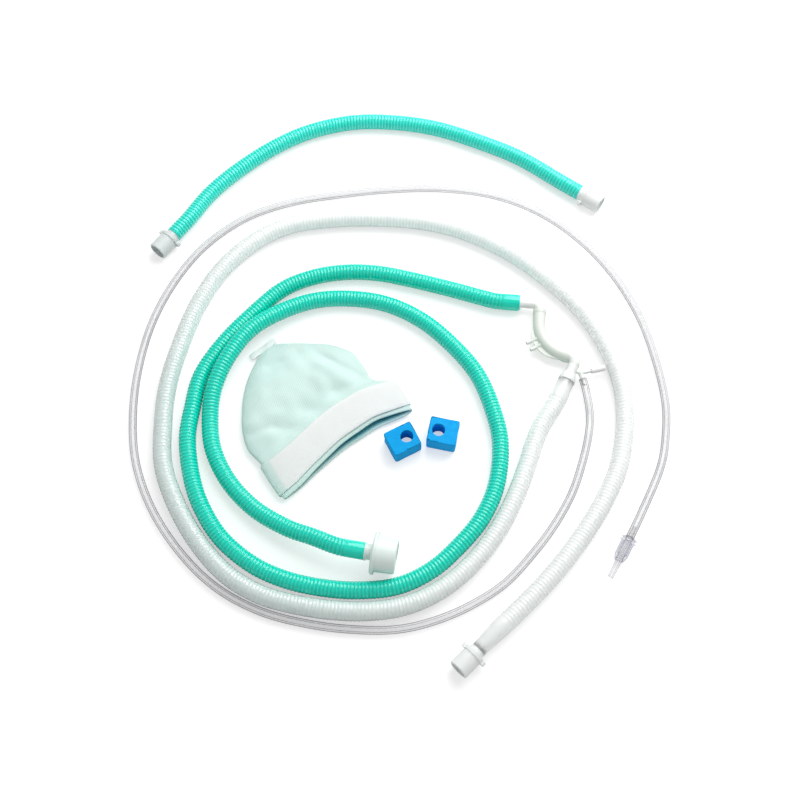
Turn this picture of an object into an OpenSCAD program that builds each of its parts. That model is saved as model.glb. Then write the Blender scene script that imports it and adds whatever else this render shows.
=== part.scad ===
// Neonatal nasal CPAP circuit, laid out flat in millimetres.
// Z is up, X runs across the layout and Y runs away from the viewer.
// The origin is on the surface, under the middle of the rigid pieces.
// Four hoses follow routes over the surface. Every connector is placed on the
// end of its hose, and the elbows and cannula form a chain between two hoses.

/* [Hoses] */
// Outside diameter of both green hoses
green_od = 13; // [12:0.5:14]
// Bore of both green hoses
green_bore = 10.4; // [9.6:0.2:11]
// Outside diameter of the white hose
white_od = 14; // [13:0.5:15]
// Bore of the white hose
white_bore = 11.2; // [10.6:0.2:12]
// Outside diameter of the clear pressure line
line_od = 6; // [5:0.5:7]
// Bore of the clear pressure line
line_bore = 3.4; // [3:0.2:4]
// Length of the straight smooth cuff at each hose end
cuff_l = 18; // [14:1:22]
// Play between a spigot and the flats of the bore round it
push_fit = 0.15; // [0.1:0.05:0.3]

/* [Fifteen millimetre connectors] */
// Outside diameter of the male barrel
male_od = 15.2; // [14.8:0.1:15.8]
// Length of the male barrel
male_l = 14; // [12:1:18]
// Wall of the male barrel
male_wall = 1.3; // [1:0.1:1.8]
// Distance across the tips of the two finger tabs
tab_span = 21; // [19:0.5:24]
// Width of a finger tab
tab_w = 4.6; // [3.5:0.1:6]
// Thickness of a finger tab along the connector
tab_t = 2.6; // [2:0.1:3.5]
// Visible neck between the hose and the finger tabs
neck_l = 3.2; // [2:0.2:6]

/* [Twenty-two millimetre connector] */
// Bore of the female socket
socket_d = 22.2; // [21.8:0.1:22.6]
// Depth of the female socket
socket_depth = 15; // [13:0.5:16]
// Wall of the socket at its mouth
socket_wall = 1.6; // [1.3:0.1:2.2]
// Growth of the outside radius from the mouth to the flange
socket_draft = 0.7; // [0:0.1:1]
// Diameter of the flange
flange_d = 31; // [29:0.5:34]
// Thickness of the flange
flange_t = 2.8; // [2:0.2:4]
// Floor between the socket and the neck
socket_floor = 2.4; // [2:0.2:4]
// Neck between the hose and the flange
socket_neck_l = 5.5; // [4:0.5:9]

/* [Elbows] */
// Outside diameter of the inspiratory elbow
elbow_od = 7.4; // [7.2:0.1:8]
// Outside diameter of the ends that go into the cannula
seat_od = 7; // [6.4:0.1:7]
// Bore of both elbows
elbow_bore = 5; // [4.2:0.2:5.4]
// Outside diameter of the expiratory bend
bend_od = 9; // [8.4:0.2:9.6]
// Straight leg of the inspiratory elbow before its bend
inlet_leg = 11; // [8:0.5:15]
// Straight leg of the expiratory elbow after its bend
outlet_leg = 15; // [13:0.5:18]
// Turn of the inspiratory elbow in degrees
inlet_turn = 90; // [80:1:100]
// Turn of the expiratory elbow in degrees
outlet_turn = 97; // [85:1:105]
// Radius of the elbow bends on their centre line
bend_r = 5.2; // [5:0.1:6]

/* [Nasal cannula] */
// Outside diameter of the cannula body
cannula_od = 9.8; // [9.4:0.2:11]
// Bend radius of the cannula body on its centre line
cannula_r = 26; // [22:1:32]
// Bend of the cannula body in degrees
cannula_turn = 76; // [66:1:84]
// Straight end that takes the inspiratory elbow
cannula_in_l = 11.8; // [8:0.2:16]
// Straight end that takes the expiratory elbow
cannula_out_l = 4.6; // [4:0.2:8]
// Reach of the thin lip beyond the cannula body
lip_reach = 3.4; // [2:0.2:5]
// Thickness of the lip
lip_t = 1.6; // [1:0.1:2]
// Spacing of the two nasal prongs along the bend
prong_gap = 4.8; // [4.6:0.2:7]
// Length of a prong beyond the cannula body
prong_l = 8.5; // [6:0.5:11]
// Outside diameter of a prong
prong_od = 3; // [2.6:0.1:4]
// Bore of a prong
prong_bore = 1.9; // [1.4:0.1:2.4]

/* [Pressure port] */
// Outside diameter of the port tubes
port_od = 2.8; // [2.4:0.1:3]
// Bore of the port tubes
port_bore = 1.4; // [1:0.1:1.6]
// Length of the bare side port before its cap
port_l = 8.5; // [6:0.5:9]
// Length of the side port's sleeve cap
cap_l = 11; // [7:0.5:11]
// Outside diameter of the sleeve cap
cap_od = 4.6; // [4.2:0.1:5]

/* [Luer connector] */
// Outside diameter of the tinted collar
collar_od = 9.6; // [9:0.2:11]
// Length of the tinted collar
collar_l = 17.6; // [15:0.2:20]
// Diameter of the collar's rear flange
collar_flange_d = 10.4; // [10.2:0.2:12]
// Distance across the two lugs of the collar
lug_span = 12; // [11.4:0.2:14]
// Running clearance between the collar and its stem
running_fit = 0.05; // [0.02:0.01:0.09]
// End play of the collar at each end
end_play = 0.3; // [0.2:0.05:0.5]
// Length of the luer nose
nose_l = 13.5; // [10:0.5:16]
// Diameter of the nose at its root
nose_d = 4.5; // [4.2:0.1:4.8]

/* [Knit hat] */
// Width of the crown laid flat
hat_w = 106; // [96:2:120]
// Height of the crown above the cuff band
crown_h = 81; // [70:1:95]
// Width of the turned-up cuff band
band_h = 24; // [18:1:30]
// Width of the hem that shows past the band
hem_h = 6; // [2:0.5:8]
// Thickness of the crown cloth
cloth_t = 1.4; // [1.2:0.1:2.4]
// Thickness of the cuff band
band_t = 1.6; // [1.4:0.1:3]
// Height of the hat as it lies
hat_puff = 14; // [12:1:20]
// Rise of the cuff band's middle over its ends
hat_bow = 8; // [0:1:12]
// Lean of that rise to the right, as a share
hat_lean = 0.6; // [0:0.1:0.8]

/* [Foam blocks] */
// Length of a block
foam_l = 22; // [20:0.5:26]
// Width of a block
foam_w = 20; // [17:0.5:24]
// Height of a block
foam_h = 15; // [10:0.5:20]
// Diameter of the hole through a block
foam_hole = 9.6; // [8:0.2:11]
// Offset of the hole from the middle of the block
foam_shift = 3.4; // [0:0.2:4]

/* [Hidden] */
$fn = 48;
// Overrun of every cut
cut = 1;
// Gap that keeps soft pieces clear of their neighbours
soft_gap = 0.3;

// Side counts and ring spacing of the hoses
hose_sides = 12;
line_sides = 8;
hose_pitch = 2.5 * green_od;
line_pitch = 3 * line_od;

// Heights of the centre lines over the surface
green_z = green_od / 2;
white_z = white_od / 2;
line_z = line_od / 2;
male_z = male_od / 2;
socket_z = flange_d / 2;
luer_z = collar_flange_d / 2;
// Steps by which the inner green turn climbs beside the outer one
low_rise = 1;
mid_rise = 4;
top_rise = 7;

// Barbs on every spigot that goes into a hose
barb_count = 3;
barb_pitch = 3;
barb_depth = 0.5;
spigot_wall = 1;

function unit(v) = v / norm(v);
// Radius of a spigot that just clears the flats of a bore with so many sides
function spigot_r(bore, sides) = bore / 2 * cos(180 / sides) - push_fit;
// A place is [x, y, z, heading]. It moves ahead by d and turns left by a.
function ahead(p, d) =
    [p[0] + d * cos(p[3]), p[1] + d * sin(p[3]), p[2], p[3]];
function turned(p, a) = [p[0], p[1], p[2], p[3] + a];
// The place after a bend of radius r, to the left for a positive turn
function bent(p, r, a) = let (s = sign(a))
    turned(ahead(turned(ahead(turned(p, 90 * s), r), 180 + a), r), 90 * s);
function spot(p) = [p[0], p[1], p[2]];

// The chain from the inspiratory hose to the expiratory hose
throat = [109, 89, white_z, -5];
inlet_bend = ahead(throat, inlet_leg);
cannula_top = bent(inlet_bend, bend_r, -inlet_turn);
cannula_arc = ahead(cannula_top, cannula_in_l);
cannula_arc_end = bent(cannula_arc, cannula_r, cannula_turn);
cannula_tail = ahead(cannula_arc_end, cannula_out_l);
outlet_bend_end = bent(cannula_tail, bend_r, -outlet_turn);
outlet = ahead(outlet_bend_end, outlet_leg);
// Middle of the cannula's bend, with X towards the start of the bend
cannula_middle = turned(ahead(turned(cannula_arc, 90), cannula_r), 180);

// The nipple block on the expiratory elbow and its two ports
nipple_at = 4;
nipple_reach = 7.5;
port_block_r = 2.3;
line_collar_r = 1.9;
line_port_l = 5;
line_port_turn = -50;
side_port_turn = 40;
nipple_root = turned(ahead(outlet_bend_end, nipple_at), 90);
nipple = ahead(nipple_root, nipple_reach);
line_port = turned(nipple, line_port_turn);
side_port = turned(nipple, side_port_turn);
line_start = ahead(line_port, line_port_l);
cap_start = ahead(side_port, port_l);

// End places of the hoses, each heading away from its hose
left_end = [-168, 151, male_z, 233];
right_end = [163, 191, male_z, -35];
socket_end = [-10, -114, socket_z, -10];
white_end = [69, -182, male_z, -136];
luer_end = [181, -101, luer_z, -119];

// Routes of the hoses as points on their centre lines
humidifier_route = concat(
    [spot(left_end), spot(ahead(left_end, -cuff_l))],
    [[-141, 191, green_z], [-119, 214, green_z], [-90, 237, green_z],
    [-60, 253, green_z], [-25, 262, green_z], [10, 262, green_z],
    [45, 256, green_z], [80, 243, green_z], [115, 226, green_z]],
    [spot(ahead(right_end, -cuff_l)), spot(right_end)]);

inspiratory_route = concat(
    [spot(throat), spot(ahead(throat, -cuff_l))],
    [[54, 102, green_z], [21, 111, green_z], [-3, 116, green_z],
    [-27, 117, green_z], [-52, 113, green_z], [-77, 102, green_z],
    [-99, 81, green_z], [-121, 55, green_z], [-137, 27, green_z],
    [-142, 0, green_z], [-144, -25, green_z], [-139, -54, green_z],
    [-130, -78, green_z], [-114, -102, green_z], [-91, -121, green_z],
    [-67, -132, green_z], [-41, -138, green_z], [-15, -140, green_z],
    [13, -137, green_z], [38, -125, green_z], [59, -106, green_z],
    [75, -86, green_z], [86, -61, green_z], [90, -29, green_z],
    [85, -1, green_z], [74, 28, green_z], [55, 53, green_z],
    [32, 74, green_z], [5, 88, green_z], [-23, 93, green_z],
    [-51, 91, green_z + low_rise], [-77, 80, green_z + mid_rise], [-100, 63, green_z + top_rise],
    [-116, 40, green_z + top_rise], [-126, 15, green_z + mid_rise], [-128, -9, green_z],
    [-124, -34, green_z], [-111, -59, green_z], [-91, -80, green_z + low_rise],
    [-67, -95, green_z + mid_rise], [-47, -103, green_z + top_rise]],
    [spot(ahead(socket_end, -cuff_l)), spot(socket_end)]);

expiratory_route = concat(
    [spot(outlet), spot(ahead(outlet, cuff_l))],
    [[119, -19, white_z], [107, -52, white_z], [95, -80, white_z],
    [79, -106, white_z], [59, -128, white_z], [38, -143, white_z],
    [15, -152, white_z], [-10, -155, white_z], [-35, -154, white_z],
    [-60, -150, white_z], [-84, -143, white_z], [-108, -129, white_z],
    [-129, -107, white_z], [-147, -79, white_z], [-160, -47, white_z],
    [-163, -14, white_z], [-162, 18, white_z], [-155, 52, white_z],
    [-144, 87, white_z], [-127, 119, white_z], [-102, 145, white_z],
    [-74, 160, white_z], [-40, 166, white_z], [-5, 167, white_z],
    [32, 164, white_z], [68, 154, white_z], [103, 135, white_z],
    [132, 111, white_z], [158, 82, white_z], [175, 51, white_z],
    [184, 18, white_z], [184, -14, white_z], [177, -47, white_z],
    [164, -74, white_z], [147, -100, white_z], [127, -125, white_z],
    [106, -147, white_z]],
    [spot(ahead(white_end, -cuff_l)), spot(white_end)]);

pressure_route = concat(
    [spot(line_start), spot(ahead(line_start, line_od))],
    [[159, -2, line_z], [157, -20, line_z], [151, -42, line_z],
    [142, -66, line_z], [128, -90, line_z], [111, -112, line_z],
    [90, -134, line_z], [65, -150, line_z], [39, -161, line_z],
    [12, -167, line_z], [-18, -167, line_z], [-50, -163, line_z],
    [-84, -154, line_z], [-116, -137, line_z], [-143, -112, line_z],
    [-166, -80, line_z], [-181, -45, line_z], [-187, -9, line_z],
    [-187, 30, line_z], [-180, 72, line_z], [-165, 110, line_z],
    [-143, 143, line_z], [-112, 169, line_z], [-76, 184, line_z],
    [-35, 192, line_z], [7, 197, line_z], [48, 198, line_z],
    [90, 192, line_z], [126, 177, line_z], [157, 153, line_z],
    [183, 121, line_z], [202, 83, line_z], [212, 46, line_z],
    [217, 8, line_z], [215, -20, line_z], [208, -48, line_z]],
    [spot(ahead(luer_end, -2 * line_od)), spot(luer_end)]);

// Point at share t of the way from b to c on a smooth curve through all four
function between(a, b, c, d, t) = 0.5 * (2 * b + (c - a) * t
    + (2 * a - 5 * b + 4 * c - d) * t * t
    + (3 * b - a - 3 * c + d) * t * t * t);

// Ring centres along a route. The first and last spans are straight cuffs.
function ring_centres(r, pitch) = [
    r[0],
    for (i = [1 : len(r) - 3])
        let (n = max(1, round(norm(r[i + 1] - r[i]) / pitch)))
            for (j = [0 : n - 1])
                between(r[i - 1], r[i], r[i + 1], r[i + 2], j / n),
    r[len(r) - 2],
    r[len(r) - 1]];

// One hollow tube swept along a route
module hose(route, od, bore, sides, pitch) {
    c = ring_centres(route, pitch);
    n = len(c);
    ways = [for (i = [0 : n - 1]) unit(c[min(i + 1, n - 1)] - c[max(i - 1, 0)])];
    function ring(i, r) = let (s = unit(cross([0, 0, 1], ways[i])), u = cross(ways[i], s))
        [for (k = [0 : sides - 1])
            c[i] + r * cos(360 * k / sides) * s + r * sin(360 * k / sides) * u];
    function at(i, k) = i * sides + k % sides;
    points = [
        for (i = [0 : n - 1]) each ring(i, od / 2),
        for (i = [0 : n - 1]) each ring(i, bore / 2)];
    inner = n * sides;
    faces = [
        for (i = [0 : n - 2]) for (k = [0 : sides - 1]) each [
            [at(i, k), at(i + 1, k), at(i + 1, k + 1)],
            [at(i, k), at(i + 1, k + 1), at(i, k + 1)],
            [inner + at(i, k), inner + at(i + 1, k + 1), inner + at(i + 1, k)],
            [inner + at(i, k), inner + at(i, k + 1), inner + at(i + 1, k + 1)]],
        for (k = [0 : sides - 1]) each [
            [at(0, k), at(0, k + 1), inner + at(0, k + 1)],
            [at(0, k), inner + at(0, k + 1), inner + at(0, k)],
            [at(n - 1, k), inner + at(n - 1, k + 1), at(n - 1, k + 1)],
            [at(n - 1, k), inner + at(n - 1, k), inner + at(n - 1, k + 1)]]];
    polyhedron(points, faces);
}

// Stands a shape, drawn along Z, at a place so that Z runs along the heading
module along(p) {
    translate(spot(p)) rotate([0, 90, p[3]]) children();
}

// Stands a shape, drawn in plan along X, at a place
module flat_at(p) {
    translate(spot(p)) rotate([0, 0, p[3]]) children();
}

barb_crest_share = 0.7;
// Outline points of a barbed spigot from its tip up to height zero
function barbs(r) = let (tip = -barb_count * barb_pitch) concat(
    [for (i = [0 : barb_count - 1]) each [
        [r - barb_depth, tip + i * barb_pitch],
        [r, tip + (i + barb_crest_share) * barb_pitch]]],
    [[r, 0]]);

male_bore = male_od - 2 * male_wall;
ring_step = 0.6;
mouth_bevel = 0.6;
neck_r = 5.6;
// Male connector with two finger tabs, its neck starting at the hose end
module male_connector(p, bore, sides) {
    s = spigot_r(bore, sides);
    lumen = s - spigot_wall - barb_depth;
    base = neck_l + tab_t;
    end = base + male_l;
    r = male_od / 2;
    along(p) {
        rotate_extrude() polygon(concat(
            [[lumen, -barb_count * barb_pitch]],
            barbs(s),
            [[neck_r, 0], [neck_r, neck_l], [r + ring_step, neck_l],
            [r + ring_step, base], [r, base], [r, end - mouth_bevel],
            [r - mouth_bevel, end], [male_bore / 2, end],
            [male_bore / 2, base], [lumen, neck_l]]));
        for (side = [0, 180]) rotate([0, 0, side]) translate([0, 0, neck_l])
            linear_extrude(tab_t) finger_tab();
    }
}

tab_corner_share = 0.3;
// Plan of one finger tab, from inside the base ring out to its bevelled tip
module finger_tab() {
    c = tab_corner_share * tab_w;
    r = male_od / 2 + ring_step;
    root = sqrt(r * r - tab_w * tab_w / 4) - ring_step;
    tip = tab_span / 2;
    w = tab_w / 2;
    polygon([[-w, root], [w, root], [w, tip - c], [w - c, tip], [c - w, tip], [-w, tip - c]]);
}

module humidifier_hose() {
    color([0.10, 0.80, 0.70])
        hose(humidifier_route, green_od, green_bore, hose_sides, hose_pitch);
}

module humidifier_connector_left() {
    color([0.85, 0.92, 0.90, 0.8]) male_connector(left_end, green_bore, hose_sides);
}

module humidifier_connector_right() {
    color([0.85, 0.92, 0.90, 0.8]) male_connector(right_end, green_bore, hose_sides);
}

module inspiratory_hose() {
    color([0.10, 0.80, 0.70])
        hose(inspiratory_route, green_od, green_bore, hose_sides, hose_pitch);
}

module expiratory_hose() {
    color([0.93, 0.95, 0.94])
        hose(expiratory_route, white_od, white_bore, hose_sides, hose_pitch);
}

module pressure_line() {
    color([0.90, 0.90, 0.92, 0.6])
        hose(pressure_route, line_od, line_bore, line_sides, line_pitch);
}

cuff_ring_t = 1.4;
socket_neck_r = 5.6;
shoulder_l = 1.2;
// Female connector with a flange behind its socket
module inspiratory_connector() {
    s = spigot_r(green_bore, hose_sides);
    lumen = s - spigot_wall - barb_depth;
    back = socket_neck_l;
    front = back + flange_t;
    floor_z = back + socket_floor;
    mouth = floor_z + socket_depth;
    r = socket_d / 2;
    outer = r + socket_wall;
    color([0.84, 0.92, 0.89, 0.8]) along(socket_end) rotate_extrude() polygon(concat(
        [[lumen, -barb_count * barb_pitch]],
        barbs(s),
        [[green_od / 2, 0], [green_od / 2, cuff_ring_t], [socket_neck_r, cuff_ring_t],
        [socket_neck_r, back - shoulder_l], [socket_neck_r + shoulder_l, back],
        [flange_d / 2 - shoulder_l, back], [flange_d / 2, back + shoulder_l],
        [flange_d / 2, front], [outer + socket_draft, front],
        [outer, mouth - mouth_bevel], [outer - mouth_bevel, mouth],
        [r, mouth], [r, floor_z], [lumen, floor_z]]));
}

module expiratory_connector() {
    color([0.87, 0.90, 0.90, 0.8]) male_connector(white_end, white_bore, hose_sides);
}

// Round rod bent to the right from the origin, where it heads along X
module right_bend(d, turn) {
    mirror([0, 1, 0]) translate([0, bend_r, 0]) rotate([0, 0, -90])
        rotate_extrude(angle = turn) translate([bend_r, 0]) circle(d = d);
}

// Puts a shape at the end of that bend, heading along it
module past_bend(turn) {
    translate([0, -bend_r, 0]) rotate([0, 0, -turn]) translate([0, bend_r, 0]) children();
}

// Round rod along X from one station to another
module rod(from, to, d) {
    translate([from, 0, 0]) rotate([0, 90, 0]) cylinder(h = to - from, d = d);
}

// Length over which a straight tube and a bend lap at their joint
bend_lap = 0.5;
elbow_rim_t = 1;
elbow_rim_r = 5.6;
barbed_l = barb_count * barb_pitch;
// Difference in radius where a straight tube runs on from a bend
bore_step = 0.2;
seat_bore = elbow_bore - 2 * bore_step;
module inspiratory_elbow() {
    s = spigot_r(green_bore, hose_sides);
    color([0.90, 0.91, 0.84, 0.8]) flat_at(throat) difference() {
        union() {
            rotate([0, 90, 0]) rotate_extrude() polygon(concat(
                [[0, -barbed_l]], barbs(s),
                [[elbow_rim_r, 0], [elbow_rim_r, elbow_rim_t],
                [elbow_od / 2, elbow_rim_t], [elbow_od / 2, inlet_leg], [0, inlet_leg]]));
            translate([inlet_leg, 0, 0]) {
                right_bend(elbow_od, inlet_turn);
                past_bend(inlet_turn) rod(-bend_lap, inlet_seat, seat_od);
            }
        }
        rod(-barbed_l - cut, inlet_leg, elbow_bore);
        translate([inlet_leg, 0, 0]) {
            right_bend(elbow_bore, inlet_turn);
            past_bend(inlet_turn) rod(-bend_lap, inlet_seat + cut, seat_bore);
        }
    }
}

// Bores of the cannula: a socket at each end and a narrower lumen between them
socket_play = push_fit;
cannula_bore = seat_od + 2 * socket_play;
cannula_lumen = cannula_bore - 4 * bore_step;
cannula_rim = 0.3;
rim_l = 3;
inlet_seat = cannula_in_l - rim_l;
outlet_seat = cannula_out_l - soft_gap;

// Round rod along Y through the start of the bend, from one station to another
module bend_rod(from, to, d) {
    translate([cannula_r, from, 0]) rotate([-90, 0, 0]) cylinder(h = to - from, d = d);
}

module cannula_bend(d) {
    rotate_extrude(angle = cannula_turn) translate([cannula_r, 0]) circle(d = d);
}

prong_root_l = 3;
prong_root_step = 0.7;
prong_bend_r = 30;
// Share of the bend that comes before the middle of the prongs
prongs_share = 0.415;
module nasal_cannula() {
    rim_od = cannula_od + 2 * cannula_rim;
    color([0.92, 0.92, 0.86, 0.85]) flat_at(cannula_middle) difference() {
        union() {
            bend_rod(-cannula_in_l, rim_l - cannula_in_l, rim_od);
            bend_rod(rim_l - cannula_in_l, 0, cannula_od);
            cannula_bend(cannula_od);
            rotate([0, 0, cannula_turn]) bend_rod(-bend_lap, cannula_out_l, rim_od);
            cannula_lip();
            for (side = [-1, 1]) prong(side, prong_od, prong_root_step);
        }
        bend_rod(-cannula_in_l - cut, -rim_l + soft_gap, cannula_bore);
        bend_rod(-rim_l, 0, cannula_lumen);
        cannula_bend(cannula_lumen);
        rotate([0, 0, cannula_turn]) bend_rod(-bend_lap, cannula_out_l + cut, cannula_bore);
        for (side = [-1, 1]) prong(side, prong_bore, 0);
    }
}

lip_half_angle = 34;
lip_root = 0.7;
// Thin crescent along the outside of the bend. Its rim is an arc of its own that
// meets the body where the lip runs out.
module cannula_lip() {
    body = cannula_r + cannula_od / 2;
    far = body + lip_reach;
    shift = (far * far - body * body) / (2 * (far - body * cos(lip_half_angle)));
    rotate([0, 0, cannula_turn / 2]) translate([0, 0, -lip_t / 2])
        linear_extrude(lip_t) difference() {
            translate([shift, 0]) circle(r = far - shift, $fn = 96);
            circle(r = body - lip_root, $fn = 96);
        }
}

// One prong on the outside of the bend, a cone and then a curve towards its twin.
// With no root step it is the prong's bore, longer at both ends.
module prong(side, d, root_step) {
    solid = root_step > 0;
    lead = solid ? cannula_bore / 2 + root_step / 2 : 0;
    run = cannula_od / 2 + prong_root_l;
    rest = prong_l - prong_root_l + (solid ? 0 : cut);
    a = prongs_share * cannula_turn + side * prong_gap / 2 / cannula_r * 180 / PI;
    rotate([0, 0, a]) translate([cannula_r, 0, 0]) {
        translate([lead, 0, 0]) rotate([0, 90, 0])
            cylinder(h = run - lead, d1 = d + 2 * root_step, d2 = d);
        translate([run, 0, 0]) mirror([0, side > 0 ? 1 : 0, 0])
            translate([0, prong_bend_r, 0]) rotate([0, 0, -90])
                rotate_extrude(angle = rest / prong_bend_r * 180 / PI)
                    translate([prong_bend_r, 0]) circle(d = d);
    }
}

outlet_cone_l = 6;
outlet_rim_t = 2;
outlet_rim_r = 6.6;
// Depth of the line on its port and of the cap on the side port
line_grip = 5;
cap_grip = 5;
// Radius of the hollow in the port block
port_hollow_r = 1.1;
outlet_od = bend_od - 2 * bore_step;
module expiratory_elbow() {
    s = spigot_r(white_bore, hose_sides);
    line_r = spigot_r(line_bore, line_sides);
    color([0.90, 0.91, 0.86, 0.8]) flat_at(cannula_tail) difference() {
        union() {
            rod(-outlet_seat, bend_lap, seat_od);
            right_bend(bend_od, outlet_turn);
            past_bend(outlet_turn) {
                translate([outlet_leg, 0, 0]) rotate([0, -90, 0])
                    rotate_extrude() polygon(concat(
                        [[0, -barbed_l]], barbs(s),
                        [[outlet_rim_r, 0], [outlet_rim_r, outlet_rim_t],
                        [outlet_od / 2, outlet_rim_t + outlet_cone_l],
                        [outlet_od / 2, outlet_leg + bend_lap], [0, outlet_leg + bend_lap]]));
                translate([nipple_at, 0, 0]) rotate([0, 0, 90]) {
                    rod(0, nipple_reach, port_od);
                    translate([nipple_reach, 0, 0]) {
                        sphere(r = port_block_r);
                        rotate([0, 0, line_port_turn]) rotate([0, 90, 0])
                            rotate_extrude() polygon([[0, 0], [line_collar_r, 0],
                                [line_collar_r, line_port_l], [line_r, line_port_l],
                                [line_r, line_port_l + line_grip],
                                [0, line_port_l + line_grip]]);
                        rotate([0, 0, side_port_turn]) rod(0, port_l + cap_grip, port_od);
                    }
                }
            }
        }
        rod(-outlet_seat - cut, bend_lap, seat_bore);
        right_bend(elbow_bore, outlet_turn);
        past_bend(outlet_turn) {
            rod(-bend_lap, outlet_leg + barbed_l + cut, seat_bore);
            translate([nipple_at, 0, 0]) rotate([0, 0, 90]) {
                rod(0, nipple_reach, port_bore);
                translate([nipple_reach, 0, 0]) {
                    sphere(r = port_hollow_r);
                    rotate([0, 0, line_port_turn])
                        rod(0, line_port_l + line_grip + cut, port_bore);
                    rotate([0, 0, side_port_turn])
                        rod(0, port_l + cap_grip + cut, port_bore);
                }
            }
        }
    }
}

// Soft sleeve closed at its far end, over the side port
module port_cap() {
    bore = port_od / 2 + push_fit;
    r = cap_od / 2;
    color([0.92, 0.86, 0.88, 0.8]) along(cap_start) rotate_extrude() polygon([
        [bore, 0], [r, 0], [r, cap_l - mouth_bevel], [r - mouth_bevel, cap_l],
        [0, cap_l], [0, cap_grip + soft_gap], [bore, cap_grip + soft_gap]]);
}

stem_r = 2.6;
disc_t = 0.8;
nose_taper = 0.25;
nose_bore = 2.1;
// Stem with a barb in the line, a thrust disc at each end of the collar and a nose
module luer_hub() {
    s = spigot_r(line_bore, line_sides);
    front = disc_t + collar_l + 2 * end_play;
    tip = front + disc_t + nose_l;
    root = nose_d / 2;
    color([0.90, 0.91, 0.94, 0.7]) along(luer_end) difference() {
        rotate_extrude() polygon([
            [0, -barb_count * barb_pitch], [s - push_fit, -barb_count * barb_pitch],
            [s, -barb_pitch], [s, 0], [line_od / 2, 0], [line_od / 2, disc_t],
            [stem_r, disc_t], [stem_r, front], [line_od / 2, front],
            [line_od / 2, front + disc_t], [root, front + disc_t],
            [root - nose_taper, tip], [0, tip]]);
        translate([0, 0, -barb_count * barb_pitch - cut])
            cylinder(h = tip + barb_count * barb_pitch + 2 * cut, d = port_bore);
        translate([0, 0, front]) cylinder(h = disc_t + nose_l + cut, d = nose_bore);
    }
}

collar_flange_t = 1.4;
collar_land = 3;
collar_wall = 1.2;
collar_cone_l = 3.6;
collar_front_r = 3.6;
lug_w = 3.6;
lug_t = 2.6;
// Inner end of a lug, inside the wall of the collar
lug_root = collar_od / 2 - collar_wall / 2;
// Tinted collar that turns on the stem, with two lugs on its rear flange
module luer_collar() {
    bore = stem_r + running_fit;
    hollow = collar_od / 2 - collar_wall;
    start = disc_t + end_play;
    end = start + collar_l;
    land = start + collar_land;
    color([0.78, 0.78, 0.95, 0.7]) along(luer_end) {
        rotate_extrude() polygon([
            [bore, start], [collar_flange_d / 2, start],
            [collar_flange_d / 2, start + collar_flange_t],
            [collar_od / 2, start + collar_flange_t], [collar_od / 2, end - collar_cone_l],
            [collar_front_r, end], [bore, end], [bore, end - collar_cone_l],
            [hollow, end - collar_cone_l - collar_wall], [hollow, land], [bore, land]]);
        for (side = [-1, 1])
            translate([-lug_w / 2, side > 0 ? lug_root : -lug_span / 2, start])
                cube([lug_w, lug_span / 2 - lug_root, lug_t]);
    }
}
// Hat frame: X along the cuff band, Y towards the top of the crown
hat_place = [-38, -13, 0, 35];
hat_sides = 24;
crown_shift = -4;
// Half width and half height inside the band, from the hem up, as shares
hem_shares = [[1.06, 0.9], [1.06, 0.9], [1.06, 1], [1.05, 1]];
// Height, half width, half height and sideways shift above the band, as shares
crown_shares = [[0.08, 1.01, 1.1, 0.5], [0.2, 1, 1.2, 1], [0.47, 0.94, 1.2, 1],
    [0.68, 0.73, 1, 1], [0.84, 0.47, 0.7, 1], [0.95, 0.26, 0.45, 1], [1, 0.18, 0.3, 1]];
hem_ys = [-band_h - hem_h, -band_h, -band_h / 2, 0];
// Rings of the crown: height along Y, half width, half height, sideways shift
crown_rings = let (w = hat_w / 2, b = hat_puff / 2 - band_t - soft_gap) concat(
    [for (i = [0 : 3]) [hem_ys[i], hem_shares[i][0] * w, hem_shares[i][1] * b, 0]],
    [for (s = crown_shares) [s[0] * crown_h, s[1] * w, s[2] * b, s[3] * crown_shift]]);

// Outline of one ring round the flattened hat, flat where it lies
under_share = 0.4;
over_share = 0.85;
function swell(s) = s < 0 ? -pow(-s, under_share) : pow(s, over_share);
// What is left of the band's bow at a height. It ends where the lining ends.
bow_share = 0.84;
function bow_left(y) = max(0, 1 - max(y, 0) / (bow_share * crown_h));
function hat_ring(g, floor_z, grow) = [for (k = [0 : hat_sides - 1])
    let (a = 360 * k / hat_sides) [
        g[3] + (g[1] + grow) * cos(a),
        g[0] + hat_bow * bow_left(g[0]) * pow(sin(a), 2) * (1 + hat_lean * cos(a)),
        floor_z + g[2] + (g[2] + grow) * swell(sin(a))]];

lifted = band_t + soft_gap;
ramp_share = 0.1;
// The crown lies on the band near the hem and on the surface beyond it
function hat_floor(y) = y <= 0 ? lifted : y < ramp_share * crown_h ? lifted / 2 : 0;

module hat_crown() {
    rows = len(crown_rings);
    deep = rows - 2;
    outer = [for (g = crown_rings) hat_ring(g, hat_floor(g[0]), 0)];
    inner = [for (i = [deep - 1 : -1 : 0])
        hat_ring(crown_rings[i], hat_floor(crown_rings[i][0]), -cloth_t)];
    n = rows + deep;
    faces = concat(
        hat_wall(0, rows),
        hat_wall(rows, deep),
        [[for (k = [0 : hat_sides - 1]) (rows - 1) * hat_sides + k]],
        [[for (k = [hat_sides - 1 : -1 : 0]) rows * hat_sides + k]],
        hat_rim(0, (n - 1) * hat_sides));
    color([0.82, 0.95, 0.91]) flat_at(hat_place)
        polyhedron([for (r = concat(outer, inner)) each r], faces);
}

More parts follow.
